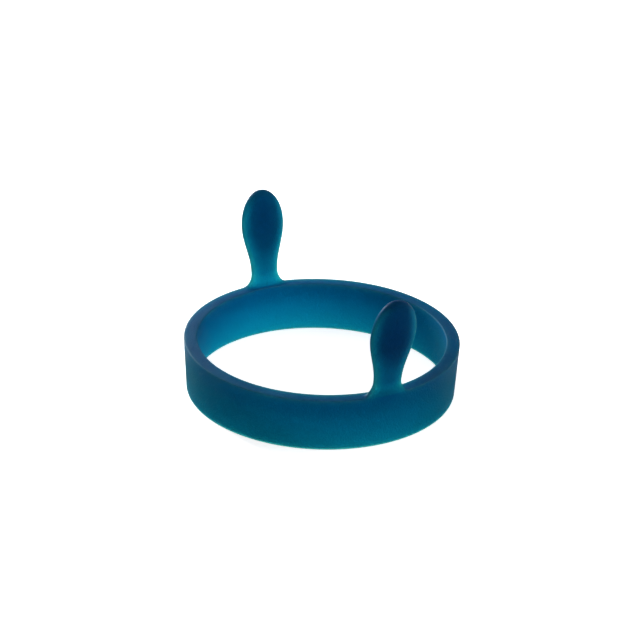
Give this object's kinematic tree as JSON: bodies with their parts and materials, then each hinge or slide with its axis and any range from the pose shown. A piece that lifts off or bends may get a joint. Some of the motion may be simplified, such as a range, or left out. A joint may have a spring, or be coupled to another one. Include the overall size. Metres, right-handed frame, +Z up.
{
  "type": "egg ring",
  "caption": "Round silicone band with upright paddle handles that bend at their necks. Set in a frying pan, it keeps an egg or a pancake round and is lifted off by its handles.",
  "frame": {"origin": "centre of the band's flat base", "axes": "+Z up, out of the open top of the band; the handles stand on the Y axis, rear_handle at +Y and front_handle at -Y"},
  "size_m": [0.1, 0.11, 0.0567],
  "materials": {
    "silicone": "translucent satin silicone"
  },
  "bodies": {
    "band": {"ring_band": "silicone", "front_handle_root": "silicone", "rear_handle_root": "silicone", "front_handle_neck": "silicone", "rear_handle_neck": "silicone"},
    "front_handle": {"front_handle_grip": "silicone"},
    "rear_handle": {"rear_handle_grip": "silicone"}
  },
  "joints": [
    {"name": "front_handle_bend", "type": "hinge", "parent": "band", "child": "front_handle", "pos_m": [0, -0.04905, 0.02515], "axis": [1, 0, 0], "range_deg": [-80, 80], "stiffness_Nm_per_rad": 0.012, "deforming": ["front_handle_neck"]},
    {"name": "rear_handle_bend", "type": "hinge", "parent": "band", "child": "rear_handle", "pos_m": [0, 0.04905, 0.02515], "axis": [-1, 0, 0], "range_deg": [-80, 80], "stiffness_Nm_per_rad": 0.012, "deforming": ["rear_handle_neck"]}
  ]
}
